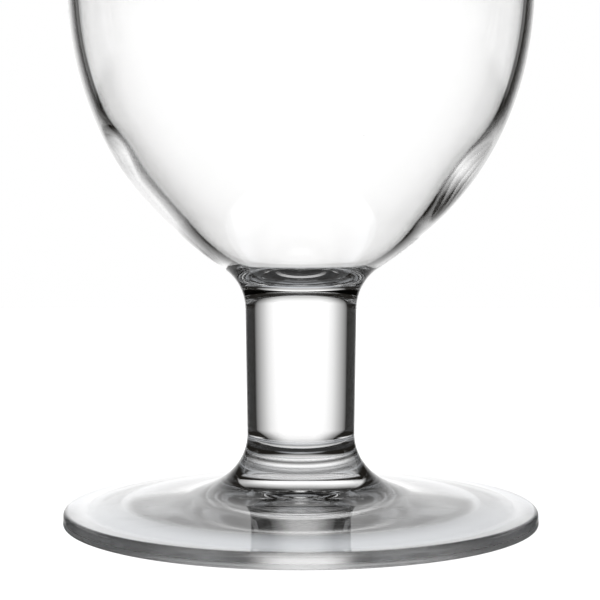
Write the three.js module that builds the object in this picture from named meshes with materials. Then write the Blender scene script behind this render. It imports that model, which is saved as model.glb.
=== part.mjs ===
// Clear plastic hurricane glass, standing on the XY plane with its axis on +Z.
// Three mouldings are joined by two welds: the bowl sits on the stem, and the stem sits on the foot.
// A spigot at each end of the stem centres the weld in a blind socket. Lengths are in millimetres.

import * as THREE from 'three';

// Facets round the axis, and steps along the long curves and the short rounds of a profile.
const FACETS = 48;
const CURVE_STEPS = 8;
const ROUND_STEPS = 4;

// Heights: the whole glass, and its stages stacked from the table up. The mouth takes what they leave.
const GLASS_HEIGHT = 200;
const HUB_HEIGHT = 14.25;
const STEM_LENGTH = 21.25;
const BELLY_RISE = 55.5;
const SHOULDER_RISE = 59;

// Foot: a disc whose top slopes out to its edge. It stands on a flat ring, and a ramp leads from the ring
// up to a recess underneath, with a moulding dimple at the middle.
const FOOT_RADIUS = 40;
const FOOT_EDGE_HEIGHT = 2.35;
const FOOT_TOP_ROUND = 0.8;
const FOOT_BASE_ROUND = 0.2;
const RING_WIDTH = 3.8;
const RECESS_DEPTH = 1.2;
const RECESS_RAMP = 6;
const DIMPLE_RADIUS = 8;
const DIMPLE_DEPTH = 0.75;

// Hub: the foot's trumpet, which leaves the stem on a fillet and runs out into the disc.
const HUB_FILLET_RADIUS = 8.75;
const HUB_FILLET_TURN = THREE.MathUtils.degToRad(44);
const HUB_SPREAD_RADIUS = 19;
const HUB_SPREAD_HEIGHT = 4.65;

// Stem: a solid rod that widens a little towards the bowl.
const STEM_BASE_RADIUS = 9.2;
const STEM_TOP_RADIUS = 9.55;

// Weld joints: the clearance is left all round each spigot and beyond its end.
const SPIGOT_RADIUS = 4.5;
const SPIGOT_LENGTH = 2;
const JOINT_CLEARANCE = 0.3;

// Bowl: outer radii, the neck under the belly, and the wall.
const BELLY_RADIUS = 39.4;
const WAIST_RADIUS = 29.5;
const RIM_RADIUS = 38.5;
const RIM_FLARE = THREE.MathUtils.degToRad(16);
const NECK_FILLET_RADIUS = 8.3;
const NECK_FILLET_TURN = THREE.MathUtils.degToRad(57);
const WALL = 2;

// Floor of the bowl: its thickness at the middle, and where on the belly's curve the wall turns into its dish.
const FLOOR_THICKNESS = 4.5;
const FLOOR_START = 0.1875;
const FLOOR_WALL_PULL = 8;
const FLOOR_MIDDLE_PULL = 8;

// Fullness of the bowl's curves: how far each end holds its direction, as a part of the curve's rise.
const BELLY_FOOT_PULL = 0.41;
const BELLY_TOP_PULL = 0.466;
const SHOULDER_PULL = 0.45;
const WAIST_PULL = 0.36;
const RIM_PULL = 0.3;

const mouthRise = GLASS_HEIGHT - HUB_HEIGHT - STEM_LENGTH - BELLY_RISE - SHOULDER_RISE;
const socketRadius = SPIGOT_RADIUS + JOINT_CLEARANCE;
const socketDepth = SPIGOT_LENGTH + JOINT_CLEARANCE;

function point(radius, height) {
  return new THREE.Vector2(radius, height);
}

// Circular round about a centre, between two angles measured from the radial direction.
function round(center, radius, start, end) {
  const clockwise = end < start;
  return new THREE.EllipseCurve(center.x, center.y, radius, radius, start, end, clockwise).getPoints(ROUND_STEPS);
}

// Point of a curve moved towards the axis side by a distance square to the curve.
function inset(curve, t, distance) {
  const tangent = curve.getTangent(t);
  return curve.getPoint(t).add(point(-tangent.y, tangent.x).multiplyScalar(distance));
}

// The curve's inner wall, from its upper end down to a start along it.
function innerWall(curve, start = 0) {
  const points = [];
  for (let step = CURVE_STEPS; step >= 0; step -= 1) {
    points.push(inset(curve, start + (1 - start) * step / CURVE_STEPS, WALL));
  }
  return points;
}

// Solid of revolution about Z from a profile of radii and heights.
function turned(name, profile, color) {
  const geometry = new THREE.LatheGeometry(profile, FACETS);
  geometry.rotateX(Math.PI / 2);
  const material = new THREE.MeshStandardMaterial({
    color,
    roughness: 0.05,
    metalness: 0,
    transparent: true,
    opacity: 0.35,
  });
  const mesh = new THREE.Mesh(geometry, material);
  mesh.name = name;
  return mesh;
}

// Foot, from the middle of its underside, round the edge and up the hub to the floor of its socket.
function makeFoot() {
  const baseRadius = FOOT_RADIUS - FOOT_BASE_ROUND;
  const ringRadius = baseRadius - RING_WIDTH;
  const dimple = new THREE.QuadraticBezierCurve(
    point(0, RECESS_DEPTH + DIMPLE_DEPTH),
    point(DIMPLE_RADIUS / 2, RECESS_DEPTH + DIMPLE_DEPTH),
    point(DIMPLE_RADIUS, RECESS_DEPTH),
  );
  const topRadius = FOOT_RADIUS - FOOT_TOP_ROUND;
  const lowerEdge = round(point(baseRadius, FOOT_BASE_ROUND), FOOT_BASE_ROUND, -Math.PI / 2, 0);
  const upperEdge = round(point(topRadius, FOOT_EDGE_HEIGHT - FOOT_TOP_ROUND), FOOT_TOP_ROUND, 0, Math.PI / 2);

  // The hub's curve bends once, where its fillet's tangent meets the slope of the disc's top.
  const filletCenter = point(STEM_BASE_RADIUS + HUB_FILLET_RADIUS, HUB_HEIGHT);
  const fillet = round(filletCenter, HUB_FILLET_RADIUS, Math.PI + HUB_FILLET_TURN, Math.PI);
  const filletFoot = fillet[0];
  const discFall = (HUB_SPREAD_HEIGHT - FOOT_EDGE_HEIGHT) / (topRadius - HUB_SPREAD_RADIUS);
  const filletFall = 1 / Math.tan(HUB_FILLET_TURN);
  const discAtFillet = HUB_SPREAD_HEIGHT + discFall * (HUB_SPREAD_RADIUS - filletFoot.x);
  const bendRadius = filletFoot.x + (filletFoot.y - discAtFillet) / (filletFall - discFall);
  const bendHeight = HUB_SPREAD_HEIGHT + discFall * (HUB_SPREAD_RADIUS - bendRadius);
  const spread = new THREE.QuadraticBezierCurve(
    point(HUB_SPREAD_RADIUS, HUB_SPREAD_HEIGHT),
    point(bendRadius, bendHeight),
    filletFoot,
  );

  return turned('foot', [
    ...dimple.getPoints(ROUND_STEPS),
    point(ringRadius - RECESS_RAMP, RECESS_DEPTH),
    point(ringRadius, 0),
    ...lowerEdge,
    ...upperEdge,
    ...spread.getPoints(CURVE_STEPS),
    ...fillet.slice(1),
    point(socketRadius, HUB_HEIGHT),
    point(socketRadius, HUB_HEIGHT - socketDepth),
    point(0, HUB_HEIGHT - socketDepth),
  ], 0xe9eef1);
}

// Stem, from the end of its lower spigot to the end of its upper one.
function makeStem() {
  return turned('stem', [
    point(0, -SPIGOT_LENGTH),
    point(SPIGOT_RADIUS, -SPIGOT_LENGTH),
    point(SPIGOT_RADIUS, 0),
    point(STEM_BASE_RADIUS, 0),
    point(STEM_TOP_RADIUS, STEM_LENGTH),
    point(SPIGOT_RADIUS, STEM_LENGTH),
    point(SPIGOT_RADIUS, STEM_LENGTH + SPIGOT_LENGTH),
    point(0, STEM_LENGTH + SPIGOT_LENGTH),
  ], 0xf0f3f4);
}

// Bowl, from its socket, up the outside, over the lip and down the inside to the middle of its floor.
function makeBowl() {
  const waistHeight = BELLY_RISE + SHOULDER_RISE;
  const neckCenter = point(STEM_TOP_RADIUS + NECK_FILLET_RADIUS, 0);
  const neck = round(neckCenter, NECK_FILLET_RADIUS, Math.PI, Math.PI - NECK_FILLET_TURN);
  const neckTop = neck[neck.length - 1];
  const bellyRun = BELLY_RISE - neckTop.y;
  const neckDirection = point(Math.sin(NECK_FILLET_TURN), Math.cos(NECK_FILLET_TURN));

  // The lip is a half round of the wall's thickness, tilted outwards by the rim's flare.
  const lipRadius = WALL / 2;
  const lipCenter = point(RIM_RADIUS - lipRadius, waistHeight + mouthRise - lipRadius);
  const lip = round(lipCenter, lipRadius, -RIM_FLARE, Math.PI - RIM_FLARE);
  const rim = lip[0];
  const rimDirection = point(Math.sin(RIM_FLARE), Math.cos(RIM_FLARE));

  const belly = new THREE.CubicBezierCurve(
    neckTop,
    neckTop.clone().addScaledVector(neckDirection, BELLY_FOOT_PULL * bellyRun),
    point(BELLY_RADIUS, BELLY_RISE - BELLY_TOP_PULL * bellyRun),
    point(BELLY_RADIUS, BELLY_RISE),
  );
  const shoulder = new THREE.CubicBezierCurve(
    point(BELLY_RADIUS, BELLY_RISE),
    point(BELLY_RADIUS, BELLY_RISE + SHOULDER_PULL * SHOULDER_RISE),
    point(WAIST_RADIUS, waistHeight - WAIST_PULL * SHOULDER_RISE),
    point(WAIST_RADIUS, waistHeight),
  );
  const mouth = new THREE.CubicBezierCurve(
    point(WAIST_RADIUS, waistHeight),
    point(WAIST_RADIUS, waistHeight + WAIST_PULL * mouthRise),
    rim.clone().addScaledVector(rimDirection, -RIM_PULL * mouthRise),
    rim,
  );

  // The floor is a dish that carries the wall's direction on and is level at the middle.
  const wallFoot = inset(belly, FLOOR_START, WALL);
  const wallDirection = belly.getTangent(FLOOR_START);
  const floor = new THREE.CubicBezierCurve(
    wallFoot,
    wallFoot.clone().addScaledVector(wallDirection, -FLOOR_WALL_PULL),
    point(FLOOR_MIDDLE_PULL, FLOOR_THICKNESS),
    point(0, FLOOR_THICKNESS),
  );

  return turned('bowl', [
    point(0, socketDepth),
    point(socketRadius, socketDepth),
    point(socketRadius, 0),
    ...neck,
    ...belly.getPoints(CURVE_STEPS).slice(1),
    ...shoulder.getPoints(CURVE_STEPS).slice(1),
    ...mouth.getPoints(CURVE_STEPS).slice(1),
    ...lip.slice(1, -1),
    ...innerWall(mouth),
    ...innerWall(shoulder).slice(1),
    ...innerWall(belly, FLOOR_START).slice(1, -1),
    ...floor.getPoints(CURVE_STEPS),
  ], 0xf4f6f7);
}

const foot = makeFoot();
const stem = makeStem();
stem.position.z = HUB_HEIGHT;
const bowl = makeBowl();
bowl.position.z = HUB_HEIGHT + STEM_LENGTH;

const glass = new THREE.Group();
glass.name = 'hurricane_glass';
glass.add(foot, stem, bowl);

export default glass;
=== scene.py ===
import math

import bpy
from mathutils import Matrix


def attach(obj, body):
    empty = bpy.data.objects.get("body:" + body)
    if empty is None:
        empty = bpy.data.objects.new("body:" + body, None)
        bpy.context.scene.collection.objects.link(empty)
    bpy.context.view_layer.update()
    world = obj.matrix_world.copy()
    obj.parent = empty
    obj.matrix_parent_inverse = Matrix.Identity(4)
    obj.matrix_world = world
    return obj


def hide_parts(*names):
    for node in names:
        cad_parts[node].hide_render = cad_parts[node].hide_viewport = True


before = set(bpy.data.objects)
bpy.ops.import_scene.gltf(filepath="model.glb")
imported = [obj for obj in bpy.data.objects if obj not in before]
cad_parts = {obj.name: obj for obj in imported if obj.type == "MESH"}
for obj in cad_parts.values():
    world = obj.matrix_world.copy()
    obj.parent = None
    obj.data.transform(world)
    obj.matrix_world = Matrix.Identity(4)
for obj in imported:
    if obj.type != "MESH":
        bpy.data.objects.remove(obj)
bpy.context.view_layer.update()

# Lengths are in millimetres until a mesh is made, and heights are above the table.
MM = 0.001
SEGMENTS = 160

# Heights of the welds and of the bowl's stages.
HUB_HEIGHT = 14.25
STEM_LENGTH = 21.25
BELLY_RISE = 55.5
SHOULDER_RISE = 59
NECK_HEIGHT = HUB_HEIGHT + STEM_LENGTH
BELLY_HEIGHT = NECK_HEIGHT + BELLY_RISE
WAIST_HEIGHT = BELLY_HEIGHT + SHOULDER_RISE
GLASS_HEIGHT = 200

# Foot: disc, standing ring, recess and moulding dimple under it, and the hub that runs up to the stem.
FOOT_RADIUS = 40
FOOT_EDGE_HEIGHT = 2.35
FOOT_TOP_ROUND = 0.8
FOOT_BASE_ROUND = 0.2
RING_WIDTH = 3.8
RECESS_DEPTH = 1.2
RECESS_RAMP = 6
DIMPLE_RADIUS = 8
DIMPLE_DEPTH = 0.75
HUB_FILLET_RADIUS = 8.75
HUB_FILLET_TURN = math.radians(44)
HUB_SPREAD_RADIUS = 19
HUB_SPREAD_HEIGHT = 4.65

# Stem radii.
STEM_BASE_RADIUS = 9.2
STEM_TOP_RADIUS = 9.55

# Bowl: outer radii, neck, and the fullness of its curves.
BELLY_RADIUS = 39.4
WAIST_RADIUS = 29.5
RIM_RADIUS = 38.5
RIM_FLARE = math.radians(16)
NECK_FILLET_RADIUS = 8.3
NECK_FILLET_TURN = math.radians(57)
BELLY_FOOT_PULL = 0.41
BELLY_TOP_PULL = 0.466
SHOULDER_PULL = 0.45
WAIST_PULL = 0.36
RIM_PULL = 0.3

# Floor of the bowl: the middle of its dish, the step of the belly's curve where it starts, and its fullness.
FLOOR_THICKNESS = 4.5
FLOOR_HEIGHT = NECK_HEIGHT + FLOOR_THICKNESS
FLOOR_STEP = 18
FLOOR_WALL_PULL = 8
FLOOR_MIDDLE_PULL = 8
FLOOR_ROWS = 60

# Wall of the bowl: its thickness, and the lumps low in the belly, as height, spread, extra, angle and reach.
WALL = 2.05
LEFT_SWELL = (53, 9, 0.45, math.pi + 0.08, 0.65)
LEFT_LUMP = (61, 3.5, 0.24, math.pi + 0.17, 0.32)
RIGHT_LUMP = (56.5, 6, 0.6, 2 * math.pi - 0.17, 0.36)

# Steps along the stretches of the profiles.
DIMPLE_STEPS = 24
RECESS_STEPS = 12
RING_STEPS = 2
BASE_ROUND_STEPS = 6
TOP_ROUND_STEPS = 12
DISC_STEPS = 8
SPREAD_STEPS = 90
FILLET_STEPS = 40
STEM_STEPS = 12
BELLY_STEPS = 96
SHOULDER_STEPS = 32
MOUTH_STEPS = 28
LIP_STEPS = 12

# Angles between faces above which an edge is sharp.
FOOT_SHARP = math.radians(20)
STEM_SHARP = math.radians(30)
BOWL_SHARP = math.radians(40)

# Points of a profile closer than this are one, and a point this near the axis is on it.
TOUCH = 1e-6

# Camera, at the height and distance that the photo's ellipses give.
EYE_DISTANCE = 200
EYE_HEIGHT = 37.87
EYE_PIXELS = 1166
HORIZON_OFFSET = 5
AXIS_OFFSET = 0.9
IMAGE_PIXELS = 600
SENSOR = 36


def arc(center, radius, start, end, steps):
    """Points of a circular round between two angles."""
    turn = end - start
    angles = [start + turn * k / steps for k in range(steps + 1)]
    return [(center[0] + radius * math.cos(a), center[1] + radius * math.sin(a)) for a in angles]


def bezier(points, steps):
    """Points of a straight, quadratic or cubic stretch from its control points."""
    order = len(points) - 1
    made = []
    for k in range(steps + 1):
        t = k / steps
        weights = [math.comb(order, i) * (1 - t) ** (order - i) * t**i for i in range(order + 1)]
        radius = sum(w * p[0] for w, p in zip(weights, points))
        height = sum(w * p[1] for w, p in zip(weights, points))
        made.append((radius, height))
    return made


def line(start, end, steps):
    """Points of a straight stretch."""
    return bezier([start, end], steps)


def along(point, angle, distance):
    """Point at a distance, at an angle from the vertical."""
    return (point[0] + distance * math.sin(angle), point[1] + distance * math.cos(angle))


def joined(*stretches):
    """One run of points, without the doubles where stretches meet."""
    run = []
    for stretch in stretches:
        for p in stretch:
            if not run or math.dist(run[-1], p) > TOUCH:
                run.append(p)
    return run


def foot_profile():
    """From the middle of the underside, round the edge and up the hub to the weld."""
    edge = FOOT_RADIUS - FOOT_TOP_ROUND
    base = FOOT_RADIUS - FOOT_BASE_ROUND
    ring_radius = base - RING_WIDTH
    recess = (0, RECESS_DEPTH + DIMPLE_DEPTH)
    dimple = bezier([recess, (DIMPLE_RADIUS / 2, recess[1]), (DIMPLE_RADIUS, RECESS_DEPTH)], DIMPLE_STEPS)

    # The hub's curve bends once, where its fillet's tangent meets the slope of the disc's top.
    fillet_center = (STEM_BASE_RADIUS + HUB_FILLET_RADIUS, HUB_HEIGHT)
    fillet = arc(fillet_center, HUB_FILLET_RADIUS, math.pi + HUB_FILLET_TURN, math.pi, FILLET_STEPS)
    fall = (HUB_SPREAD_HEIGHT - FOOT_EDGE_HEIGHT) / (edge - HUB_SPREAD_RADIUS)
    fillet_fall = 1 / math.tan(HUB_FILLET_TURN)
    disc_at_fillet = HUB_SPREAD_HEIGHT + fall * (HUB_SPREAD_RADIUS - fillet[0][0])
    bend = fillet[0][0] + (fillet[0][1] - disc_at_fillet) / (fillet_fall - fall)
    bend_point = (bend, HUB_SPREAD_HEIGHT + fall * (HUB_SPREAD_RADIUS - bend))
    return joined(
        dimple,
        line((DIMPLE_RADIUS, RECESS_DEPTH), (ring_radius - RECESS_RAMP, RECESS_DEPTH), RECESS_STEPS),
        line((ring_radius - RECESS_RAMP, RECESS_DEPTH), (ring_radius, 0), RECESS_STEPS),
        line((ring_radius, 0), (base, 0), RING_STEPS),
        arc((base, FOOT_BASE_ROUND), FOOT_BASE_ROUND, -math.pi / 2, 0, BASE_ROUND_STEPS),
        arc((edge, FOOT_EDGE_HEIGHT - FOOT_TOP_ROUND), FOOT_TOP_ROUND, 0, math.pi / 2, TOP_ROUND_STEPS),
        line((edge, FOOT_EDGE_HEIGHT), (HUB_SPREAD_RADIUS, HUB_SPREAD_HEIGHT), DISC_STEPS),
        bezier([(HUB_SPREAD_RADIUS, HUB_SPREAD_HEIGHT), bend_point, fillet[0]], SPREAD_STEPS),
        fillet,
    )


def stem_profile():
    """Up the outside of the rod."""
    return line((STEM_BASE_RADIUS, HUB_HEIGHT), (STEM_TOP_RADIUS, NECK_HEIGHT), STEM_STEPS)


def bowl_outside():
    """The neck, from the weld, and the run of curves from it up to the lip."""
    neck_center = (STEM_TOP_RADIUS + NECK_FILLET_RADIUS, NECK_HEIGHT)
    neck = arc(neck_center, NECK_FILLET_RADIUS, math.pi, math.pi - NECK_FILLET_TURN, FILLET_STEPS)
    top = neck[-1]
    run = BELLY_HEIGHT - top[1]
    shoulder = WAIST_HEIGHT - BELLY_HEIGHT
    mouth = GLASS_HEIGHT - WAIST_HEIGHT
    lip = WALL / 2
    rim = along((RIM_RADIUS - lip, GLASS_HEIGHT - lip), math.pi / 2 + RIM_FLARE, lip)
    belly_curve = bezier([
        top,
        along(top, NECK_FILLET_TURN, BELLY_FOOT_PULL * run),
        (BELLY_RADIUS, BELLY_HEIGHT - BELLY_TOP_PULL * run),
        (BELLY_RADIUS, BELLY_HEIGHT),
    ], BELLY_STEPS)
    shoulder_curve = bezier([
        (BELLY_RADIUS, BELLY_HEIGHT),
        (BELLY_RADIUS, BELLY_HEIGHT + SHOULDER_PULL * shoulder),
        (WAIST_RADIUS, WAIST_HEIGHT - WAIST_PULL * shoulder),
        (WAIST_RADIUS, WAIST_HEIGHT),
    ], SHOULDER_STEPS)
    mouth_curve = bezier([
        (WAIST_RADIUS, WAIST_HEIGHT),
        (WAIST_RADIUS, WAIST_HEIGHT + WAIST_PULL * mouth),
        along(rim, RIM_FLARE, -RIM_PULL * mouth),
        rim,
    ], MOUTH_STEPS)
    return neck, joined(belly_curve, shoulder_curve, mouth_curve)


def wall_thickness(height, turn):
    """Thickness of the wall at a height and an angle round the axis."""
    wall = WALL
    for lump_height, spread, extra, lump_turn, reach in (LEFT_SWELL, LEFT_LUMP, RIGHT_LUMP):
        aside = math.remainder(turn - lump_turn, 2 * math.pi) / reach
        above = (height - lump_height) / spread
        wall += extra * math.exp(-(aside**2) - above**2)
    return wall


def inset(run, index, distance):
    """Point of a run moved square to it, to the axis side."""
    before = run[max(index - 1, 0)]
    after = run[min(index + 1, len(run) - 1)]
    length = math.dist(before, after)
    step = ((after[0] - before[0]) / length, (after[1] - before[1]) / length)
    return (run[index][0] - step[1] * distance, run[index][1] + step[0] * distance)


def dish(outside, turn):
    """Points of the bowl's floor, from the wall to the axis, at an angle round the axis."""
    wall = [inset(outside, i, wall_thickness(outside[i][1], turn)) for i in (FLOOR_STEP, FLOOR_STEP + 1)]
    slope = math.atan2(wall[1][0] - wall[0][0], wall[1][1] - wall[0][1])
    return bezier([
        wall[0],
        along(wall[0], slope, -FLOOR_WALL_PULL),
        (FLOOR_MIDDLE_PULL, FLOOR_HEIGHT),
        (0, FLOOR_HEIGHT),
    ], FLOOR_ROWS)


def ring(profile_at, count):
    """Points round the axis in metres, from a function of the angle that gives a radius and a height."""
    points = []
    for k in range(count):
        turn = 2 * math.pi * k / count
        radius, height = profile_at(turn)
        points.append((radius * MM * math.cos(turn), radius * MM * math.sin(turn), height * MM))
    return points


def level_ring(radius, height, count):
    """Points of a level circle round the axis."""
    return ring(lambda turn: (radius, height), count)


def band(first, count):
    """Faces between one ring of points and the next."""
    faces = []
    for k in range(count):
        low = first + k
        next_low = first + (k + 1) % count
        faces.append((low, next_low, next_low + count, low + count))
    return faces


def make_piece(name, node, rows, start_height, end_height, weld_caps, sharp):
    """Mesh from rings, closed on the axis at a height at each end; a cap may be a weld."""
    points = []
    faces = []
    welds = []
    for row in rows:
        points.extend(row)
    for i in range(len(rows) - 1):
        faces.extend(band(i * SEGMENTS, SEGMENTS))
    last = (len(rows) - 1) * SEGMENTS
    for base, height, flip, weld in (
        (0, start_height, True, weld_caps[0]),
        (last, end_height, False, weld_caps[1]),
    ):
        center = len(points)
        points.append((0, 0, height * MM))
        for k in range(SEGMENTS):
            m = (k + 1) % SEGMENTS
            if weld:
                welds.append(len(faces))
            ends = (base + m, base + k) if flip else (base + k, base + m)
            faces.append((*ends, center))
    mesh = bpy.data.meshes.new(name)
    mesh.from_pydata(points, [], faces)
    mesh.update()
    mesh.polygons.foreach_set("use_smooth", [True] * len(mesh.polygons))
    mesh.set_sharp_from_angle(angle=sharp)
    for index in welds:
        mesh.polygons[index].material_index = 1
        mesh.polygons[index].use_smooth = False
    piece = bpy.data.objects.new(name, mesh)
    bpy.context.scene.collection.objects.link(piece)
    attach(piece, "root")
    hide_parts(node)
    return piece


def steady(profile):
    """Rings of a profile that is the same all round, apart from points on the axis."""
    return [level_ring(*p, SEGMENTS) for p in profile if p[0] > TOUCH]


def make_foot():
    profile = foot_profile()
    rows = steady(profile)
    return make_piece("foot_disc", "foot", rows, profile[0][1], HUB_HEIGHT, (False, True), FOOT_SHARP)


def make_stem():
    rows = steady(stem_profile())
    return make_piece("stem_rod", "stem", rows, HUB_HEIGHT, NECK_HEIGHT, (True, True), STEM_SHARP)


def make_bowl():
    neck, outside = bowl_outside()
    rows = steady(joined(neck, outside))
    lip = WALL / 2
    lip_center = (RIM_RADIUS - lip, GLASS_HEIGHT - lip)
    rows.extend(steady(arc(lip_center, lip, -RIM_FLARE, math.pi - RIM_FLARE, LIP_STEPS)[1:-1]))

    def inner_wall(i):
        return lambda turn: inset(outside, i, wall_thickness(outside[i][1], turn))

    def floor_row(k):
        return lambda turn: dish(outside, turn)[k]

    for i in range(len(outside) - 1, FLOOR_STEP, -1):
        rows.append(ring(inner_wall(i), SEGMENTS))
    for k in range(FLOOR_ROWS):
        rows.append(ring(floor_row(k), SEGMENTS))
    return make_piece("bowl_wall", "bowl", rows, NECK_HEIGHT, FLOOR_HEIGHT, (True, False), BOWL_SHARP)


# Light with fewer reflections than this is unreflected; it lies between whole numbers of them.
MAX_STRAIGHT = 0.5


class Shading:
    """Short hands for the nodes of one material or world."""

    def __init__(self, tree):
        self.tree = tree
        self.nodes = tree.nodes

    def link(self, source, target):
        self.tree.links.new(source, target)

    def feed(self, socket, value):
        """A number, a vector or another node's output into a socket."""
        if isinstance(value, bpy.types.NodeSocket):
            self.link(value, socket)
        else:
            socket.default_value = value

    def math(self, operation, a, b=None):
        node = self.nodes.new("ShaderNodeMath")
        node.operation = operation
        self.feed(node.inputs[0], a)
        if b is not None:
            self.feed(node.inputs[1], b)
        return node.outputs[0]

    def vector(self, operation, *values):
        node = self.nodes.new("ShaderNodeVectorMath")
        node.operation = operation
        for socket, value in zip(node.inputs, values):
            self.feed(socket, value)
        return node.outputs["Value"] if operation == "LENGTH" else node.outputs["Vector"]

    def step(self, value, ends, start, end):
        """Smooth step from start to end as a value goes from one of the ends to the other."""
        node = self.nodes.new("ShaderNodeMapRange")
        node.interpolation_type = "SMOOTHSTEP"
        node.inputs["From Min"].default_value = ends[0]
        node.inputs["From Max"].default_value = ends[1]
        node.inputs["To Min"].default_value = start
        node.inputs["To Max"].default_value = end
        self.link(value, node.inputs["Value"])
        return node.outputs["Result"]

    def length_step(self, value, ends, start, end):
        """Smooth step between two lengths."""
        return self.step(value, (ends[0] * MM, ends[1] * MM), start, end)

    def ramp(self, value, stops):
        """Grey ramp through stops of (position, value)."""
        node = self.nodes.new("ShaderNodeValToRGB")
        elements = node.color_ramp.elements
        while len(elements) > 1:
            elements.remove(elements[-1])
        elements[0].position = stops[0][0]
        elements[0].color = (stops[0][1],) * 3 + (1,)
        for position, grey in stops[1:]:
            elements.new(position).color = (grey, grey, grey, 1)
        self.link(value, node.inputs[0])
        return node.outputs[0]

    def noise(self, vector, scale, detail):
        node = self.nodes.new("ShaderNodeTexNoise")
        node.inputs["Scale"].default_value = scale
        node.inputs["Detail"].default_value = detail
        self.link(vector, node.inputs["Vector"])
        return node.outputs[0]

    def cells(self, vector, scale):
        """Distance to the nearest of some scattered points, and that point's random value."""
        node = self.nodes.new("ShaderNodeTexVoronoi")
        node.inputs["Scale"].default_value = scale
        self.link(vector, node.inputs["Vector"])
        return node.outputs["Distance"], node.outputs["Color"]

    def mapped(self, vector, turn, scale):
        """Coordinates turned about the axis and stretched."""
        node = self.nodes.new("ShaderNodeMapping")
        node.inputs["Rotation"].default_value = (0, 0, turn)
        node.inputs["Scale"].default_value = scale
        self.link(vector, node.inputs["Vector"])
        return node.outputs["Vector"]

    def place(self, kind):
        """Coordinates of a kind, and their parts."""
        node = self.nodes.new("ShaderNodeTexCoord")
        parts = self.nodes.new("ShaderNodeSeparateXYZ")
        self.link(node.outputs[kind], parts.inputs[0])
        return node.outputs[kind], parts.outputs

    def path(self):
        """Whether light is unreflected, how many faces it passed, and whether the camera sees it directly."""
        node = self.nodes.new("ShaderNodeLightPath")
        straight = self.math("LESS_THAN", node.outputs["Glossy Depth"], MAX_STRAIGHT)
        return straight, node.outputs["Transmission Depth"], node.outputs["Is Camera Ray"]

    def surface_glow(self, strength, share=None, tint=(1, 1, 1, 1)):
        """Light from the surface, which is clear where the share of it is nought."""
        glow = self.nodes.new("ShaderNodeEmission")
        glow.inputs["Color"].default_value = tint
        self.feed(glow.inputs["Strength"], strength)
        surface = glow.outputs[0]
        if share is not None:
            clear = self.nodes.new("ShaderNodeBsdfTransparent")
            mixed = self.nodes.new("ShaderNodeMixShader")
            self.link(share, mixed.inputs["Fac"])
            self.link(clear.outputs[0], mixed.inputs[1])
            self.link(surface, mixed.inputs[2])
            surface = mixed.outputs[0]
        self.link(surface, self.nodes["Material Output"].inputs["Surface"])


def new_material(name):
    material = bpy.data.materials.new(name)
    material.use_nodes = True
    return material, Shading(material.node_tree)


# Moulded finish, as roughness and the radii or heights between which it sets in. The underside is satin apart
# from its dimple, most of all on its ramp, and so is the lower part of the foot's rim.
PLASTIC_IOR = 1.585
UNDER_TOP = (1.9, 2.1)
UNDER_EDGE = (38.8, 39.1)
UNDER_ROUGHNESS = 0.1
DIMPLE_EDGE = (9, 12)
RAMP_START = (27, 30.5)
RAMP_END = (35.5, 36.5)
RAMP_ROUGHNESS = 0.19
RIM_REACH = (39.4, 39.7)
RIM_TOP = (0.7, 1.2)
RIM_ROUGHNESS = 0.42
GLOSS_SCALE = 160
GLOSS_DETAIL = 3
GLOSS_ROUGHNESS = 0.03

# Moulded surface and wear: a slow wave, specks of dust in cells, and hairline scratches on the foot.
WAVE_SCALE = 110
WAVE_DETAIL = 1
WAVE_DEPTH = 0.005
SPECK_SCALE = 130
SPECK_SIZE = 0.022
SPECK_SHARE = 0.3
SCRATCH_TURN = 0.5
SCRATCH_SCALE = (60, 1600, 60)
SCRATCH_LEVELS = (0.74, 0.78)
SCRATCH_LOW = (2.6, 3.6)
SCRATCH_HIGH = (7, 8)
WEAR = 0.35


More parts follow.
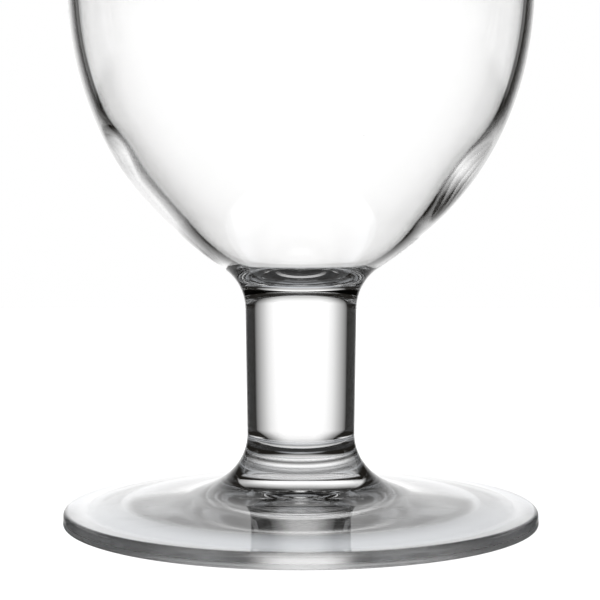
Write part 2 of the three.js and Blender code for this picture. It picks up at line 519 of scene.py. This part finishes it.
def make_plastic():
    """Clear plastic: polished, with a satin underside and rim, a fine unevenness in its gloss, and wear."""
    material, on = new_material("clear_plastic")
    shader = on.nodes["Principled BSDF"]
    shader.inputs["Base Color"].default_value = (1, 1, 1, 1)
    shader.inputs["IOR"].default_value = PLASTIC_IOR
    here, parts = on.place("Object")
    height = parts["Z"]
    reach = on.vector("LENGTH", on.vector("MULTIPLY", here, (1, 1, 0)))

    onto_ramp = on.length_step(reach, RAMP_START, UNDER_ROUGHNESS, RAMP_ROUGHNESS)
    off_ramp = on.length_step(reach, RAMP_END, RAMP_ROUGHNESS, UNDER_ROUGHNESS)
    low = on.length_step(height, UNDER_TOP, 1, 0)
    under = on.math("MULTIPLY", low, on.math("MINIMUM", onto_ramp, off_ramp))
    in_edge = on.math("MULTIPLY", under, on.length_step(reach, UNDER_EDGE, 1, 0))
    satin = on.math("MULTIPLY", in_edge, on.length_step(reach, DIMPLE_EDGE, 0, 1))
    rim = on.length_step(reach, RIM_REACH, 0, RIM_ROUGHNESS)
    edge = on.math("MULTIPLY", rim, on.length_step(height, RIM_TOP, 1, 0))
    gloss = on.math("MULTIPLY", on.noise(here, GLOSS_SCALE, GLOSS_DETAIL), GLOSS_ROUGHNESS)
    on.link(on.math("MAXIMUM", on.math("MAXIMUM", edge, satin), gloss), shader.inputs["Roughness"])

    bump = on.nodes.new("ShaderNodeBump")
    bump.inputs["Distance"].default_value = WAVE_DEPTH * MM
    on.link(on.noise(here, WAVE_SCALE, WAVE_DETAIL), bump.inputs["Height"])
    on.link(bump.outputs["Normal"], shader.inputs["Normal"])

    distance, chance = on.cells(here, SPECK_SCALE)
    chosen = on.math("LESS_THAN", chance, SPECK_SHARE)
    specks = on.math("MULTIPLY", on.step(distance, (SPECK_SIZE / 2, SPECK_SIZE), 1, 0), chosen)
    streaks = on.noise(on.mapped(here, SCRATCH_TURN, SCRATCH_SCALE), 1, 0)
    above = on.length_step(height, SCRATCH_LOW, 0, 1)
    on_foot = on.math("MULTIPLY", above, on.length_step(height, SCRATCH_HIGH, 1, 0))
    scratches = on.math("MULTIPLY", on.step(streaks, SCRATCH_LEVELS, 0, 1), on_foot)
    wear = on.math("MULTIPLY", on.math("MAXIMUM", specks, scratches), WEAR)
    on.link(on.math("SUBTRACT", 1, wear), shader.inputs["Transmission Weight"])
    return material


def make_weld():
    """Fused plastic at a weld: light passes as if there were no face."""
    material, on = new_material("fused_weld")
    clear = on.nodes.new("ShaderNodeBsdfTransparent")
    on.link(clear.outputs["BSDF"], on.nodes["Material Output"].inputs["Surface"])
    on.nodes.remove(on.nodes["Principled BSDF"])
    return material


# Soft panel behind the glass, as (elevation in degrees, value) and (share of the half width, value).
# Reflected, it stays narrow and lies to the left above the horizon. Straight through the glass it is wide
# from just below the horizon up.
PANEL_UP = [(-90, 0.1), (-64, 0.1), (-56, 0.35), (-47, 0.5), (-36, 0.6), (-25, 0.65), (-18, 0.75), (-13, 0.9),
            (-8, 1.1), (0, 1.25), (13, 1.3), (18, 1.05), (24, 0.9), (30, 0.7), (40, 0.45), (50, 0.2),
            (60, 0.08), (90, 0.06)]
PANEL_ACROSS = [(0, 1), (0.4, 1), (0.57, 0.9), (0.73, 0.74), (0.89, 0.52), (1.05, 0.35), (1.2, 0.2),
                (1.28, 0.08), (1.32, 0)]
PANEL_REACH = 1.4
PANEL_LEFT = 2.5
PANEL_LEFT_RISE = (-4, 2)
PANEL_NARROW = 23
PANEL_WIDE = 36
PANEL_WIDE_RISE = (-13, -4)

# Soft fill from the camera's side, by elevation, and from below. It is stronger straight through the glass.
FILL_UP = [(-90, 0.3), (-70, 0.3), (-45, 0.1), (-28, 0.1), (-18, 0.3), (6, 0.3), (14, 0.2), (22, 0.06),
           (90, 0.06)]
FILL_THROUGH = [(-90, 0.3), (-45, 0.3), (-30, 0.6), (-16, 0.8), (6, 0.8), (14, 0.2), (22, 0.06), (90, 0.06)]
FILL_TURN = (126, 142)
FILL_TINT = (0.95, 0.98, 1.02)
DOWN_FILL = 0.3
DOWN_RISE = (-65, -75)
DARK = 0.012
DARK_TINT = (1.12, 1, 0.85)

# Pale room, which shows through the thin walls of the bowl from every side, and through the stem and foot
# from above. Two faces are one wall and four are both; the counts lie between whole numbers of faces.
ROOM = 0.85
ROOM_TURN = (32, 44)
ROOM_RISE = (-12, -16)
ROOM_RADIUS = 60
ROOM_HEIGHTS = (75, 200)
ROOM_COUNT = 96
MIN_ONE_WALL = 1.5
MAX_ONE_WALL = 2.5
MIN_BOTH_WALLS = 3.5

# The colour sockets of a mix node.
MIX_FROM = 6
MIX_TO = 7
MIX_RESULT = 2


def make_world():
    """The studio as light by direction: azimuth from +Y and elevation, in degrees."""
    world = bpy.data.worlds.new("studio")
    bpy.context.scene.world = world
    world.use_nodes = True
    on = Shading(world.node_tree)
    on.nodes.clear()
    _, parts = on.place("Generated")
    degrees = 180 / math.pi
    turn = on.math("MULTIPLY", on.math("ARCTAN2", parts["X"], parts["Y"]), degrees)
    rise = on.math("MULTIPLY", on.math("ARCSINE", parts["Z"]), degrees)
    straight, passed, by_camera = on.path()
    up = on.math("DIVIDE", on.math("ADD", rise, 90), 180)
    far_turn = on.math("ABSOLUTE", turn)

    def by_rise(stops):
        return on.ramp(up, [((elevation + 90) / 180, value) for elevation, value in stops])

    bent = on.math("SUBTRACT", 1, straight)
    left = on.math("MULTIPLY", on.step(rise, PANEL_LEFT_RISE, 0, PANEL_LEFT), bent)
    set_off = on.math("ABSOLUTE", on.math("ADD", turn, left))
    wide = on.math("MULTIPLY", on.step(rise, PANEL_WIDE_RISE, 0, PANEL_WIDE - PANEL_NARROW), straight)
    width = on.math("ADD", wide, PANEL_NARROW)
    across = on.math("DIVIDE", on.math("DIVIDE", set_off, width), PANEL_REACH)
    spread = on.ramp(across, [(share / PANEL_REACH, value) for share, value in PANEL_ACROSS])
    panel = on.math("MULTIPLY", spread, by_rise(PANEL_UP))

    fill = on.math("MAXIMUM", by_rise(FILL_UP), on.math("MULTIPLY", by_rise(FILL_THROUGH), straight))
    fill = on.math("MULTIPLY", fill, on.step(far_turn, FILL_TURN, 0, 1))
    fill = on.math("MAXIMUM", fill, on.step(rise, DOWN_RISE, 0, DOWN_FILL))

    faces = on.math("MULTIPLY", passed, straight)
    crossed = on.math("GREATER_THAN", faces, MIN_BOTH_WALLS)
    sloped = on.math("MULTIPLY", on.step(rise, ROOM_RISE, 0, 1), on.step(far_turn, ROOM_TURN, 0, 1))
    from_above = on.math("MULTIPLY", on.math("GREATER_THAN", faces, MIN_ONE_WALL), sloped)
    room = on.math("MULTIPLY", on.math("MAXIMUM", crossed, from_above), ROOM)
    bright = on.math("MAXIMUM", panel, on.math("SUBTRACT", room, fill))

    dark = [DARK * part for part in DARK_TINT]
    light = on.vector("ADD", on.vector("MULTIPLY_ADD", fill, FILL_TINT, bright), dark)
    seen = on.nodes.new("ShaderNodeMix")
    seen.data_type = "RGBA"
    on.link(by_camera, seen.inputs[0])
    on.link(light, seen.inputs[MIX_FROM])
    seen.inputs[MIX_TO].default_value = (1, 1, 1, 1)
    background = on.nodes.new("ShaderNodeBackground")
    on.link(seen.outputs[MIX_RESULT], background.inputs["Color"])
    output = on.nodes.new("ShaderNodeOutputWorld")
    on.link(background.outputs[0], output.inputs["Surface"])


def add_stage(name, points, faces, materials, hidden):
    """Piece of the studio, not of the glass; hidden names the visibility settings that are off."""
    mesh = bpy.data.meshes.new(name)
    mesh.from_pydata(points, [], faces)
    for material in materials:
        mesh.materials.append(material)
    thing = bpy.data.objects.new(name, mesh)
    bpy.context.scene.collection.objects.link(thing)
    for kind in hidden:
        setattr(thing, kind, False)
    return thing


# Floor: half its side in metres, its drop below the table's plane, and its grey.
FLOOR_REACH = 3
FLOOR_DROP = 0.1
FLOOR_GREY = (0.9, 0.9, 0.9, 1)


def make_floor():
    """Plain pale floor, which the glass itself doesn't bend into view."""
    material, on = new_material("pale_floor")
    shader = on.nodes["Principled BSDF"]
    shader.inputs["Base Color"].default_value = FLOOR_GREY
    shader.inputs["Emission Color"].default_value = (1, 1, 1, 1)
    shader.inputs["Emission Strength"].default_value = 1
    sides = ((-1, -1), (1, -1), (1, 1), (-1, 1))
    corners = [(x * FLOOR_REACH, y * FLOOR_REACH, 0) for x, y in sides]
    hidden = ("visible_transmission", "visible_glossy")
    floor = add_stage("floor", corners, [(0, 1, 2, 3)], [material], hidden)
    floor.location.z = -FLOOR_DROP * MM


# Painted shade under the foot: a glowing ring under the disc, lighter outwards, and a dark core under the
# hub.
SHADE_DROP = 0.05
SHADE_START = 19
SHADE_FULL = 25
SHADE_SPAN = (23, 34)
SHADE_DARK = 0.22
SHADE_LIGHT = 0.72
SHADE_TINT = (0.95, 0.98, 1.02, 1)
SHADE_COUNT = 64
CORE_RADIUS = 11.5
CORE_SHADE = 0.03


def make_shade():
    """Painted shade under the foot: glowing sheets which only light that has passed through the glass meets.
    """
    outer, on = new_material("foot_shade")
    here, _ = on.place("Object")
    reach = on.vector("LENGTH", here)
    strength = on.length_step(reach, SHADE_SPAN, SHADE_DARK, SHADE_LIGHT)
    on.surface_glow(strength, on.length_step(reach, (SHADE_START, SHADE_FULL), 0, 1), SHADE_TINT)
    # Painted shade under the hub: a nearly black glowing disc, seen only through the glass.
    core, on = new_material("hub_shade")
    on.surface_glow(CORE_SHADE)

    points = []
    for radius in (CORE_RADIUS, SHADE_START, FOOT_RADIUS):
        points.extend(level_ring(radius, 0, SHADE_COUNT))
    faces = [tuple(range(SHADE_COUNT))] + band(SHADE_COUNT, SHADE_COUNT)
    hidden = ("visible_camera", "visible_glossy", "visible_diffuse", "visible_shadow")
    shade = add_stage("foot_shade", points, faces, [outer, core], hidden)
    shade.location.z = -SHADE_DROP * MM
    shade.data.polygons[0].material_index = 1


# Light cards on both sides: plan positions of their back and front edges, heights and brightness.
CARD_BACK = (189, 161)
CARD_FRONT = (255, 38)
CARD_LOW = 48
CARD_FULL = 70
CARD_HIGH = 135
CARD_GLOW = 0.5
ONLY_IN_GLASS = ("visible_camera", "visible_diffuse", "visible_shadow")


def make_card(name, side):
    """Upright light card beside the glass, which only shows in the reflections in the glass."""
    material, on = new_material(name)
    _, parts = on.place("Object")
    straight, _, _ = on.path()
    strength = on.length_step(parts["Z"], (CARD_LOW, CARD_FULL), 0, CARD_GLOW)
    on.surface_glow(strength, on.math("SUBTRACT", 1, straight))
    points = []
    for x, y in (CARD_BACK, CARD_FRONT):
        for height in (CARD_LOW, CARD_HIGH):
            points.append((side * x * MM, y * MM, height * MM))
    add_stage(name, points, [(0, 2, 3, 1)], [material], ONLY_IN_GLASS)


def make_room():
    """Pale wall round the upper bowl, which shows through one wall of it, past the mouth."""
    material, on = new_material("pale_room")
    straight, passed, _ = on.path()
    more = on.math("GREATER_THAN", passed, MIN_ONE_WALL)
    one_wall = on.math("MULTIPLY", more, on.math("LESS_THAN", passed, MAX_ONE_WALL))
    on.surface_glow(ROOM, on.math("MULTIPLY", one_wall, straight))
    points = []
    for height in ROOM_HEIGHTS:
        points.extend(level_ring(ROOM_RADIUS, height, ROOM_COUNT))
    add_stage("pale_room", points, band(0, ROOM_COUNT), [material], ONLY_IN_GLASS)


def make_camera():
    """Camera at the photo's angle; its shift only sets the glass as far aside as the photo does."""
    camera = bpy.data.cameras.new("camera")
    holder = bpy.data.objects.new("camera", camera)
    bpy.context.scene.collection.objects.link(holder)
    holder.location = (0, -EYE_DISTANCE * MM, EYE_HEIGHT * MM)
    holder.rotation_euler = (math.pi / 2 - math.atan(HORIZON_OFFSET / EYE_PIXELS), 0, 0)
    camera.sensor_width = SENSOR
    camera.lens = SENSOR * EYE_PIXELS / IMAGE_PIXELS
    camera.shift_x = -AXIS_OFFSET / IMAGE_PIXELS
    camera.clip_start = MM
    bpy.context.scene.camera = holder


# Bounces of light that clear plastic needs.
BOUNCES = 32
GLOSSY_BOUNCES = 16

plastic = make_plastic()
weld = make_weld()
for piece in (make_foot(), make_stem(), make_bowl()):
    piece.data.materials.append(plastic)
    piece.data.materials.append(weld)
make_world()
make_floor()
make_shade()
make_card("left_card", -1)
make_card("right_card", 1)
make_room()
make_camera()

scene = bpy.context.scene
scene.view_settings.view_transform = "Standard"
scene.cycles.max_bounces = BOUNCES
scene.cycles.transmission_bounces = BOUNCES
scene.cycles.glossy_bounces = GLOSSY_BOUNCES
scene.cycles.transparent_max_bounces = BOUNCES

bpy.context.view_layer.update()
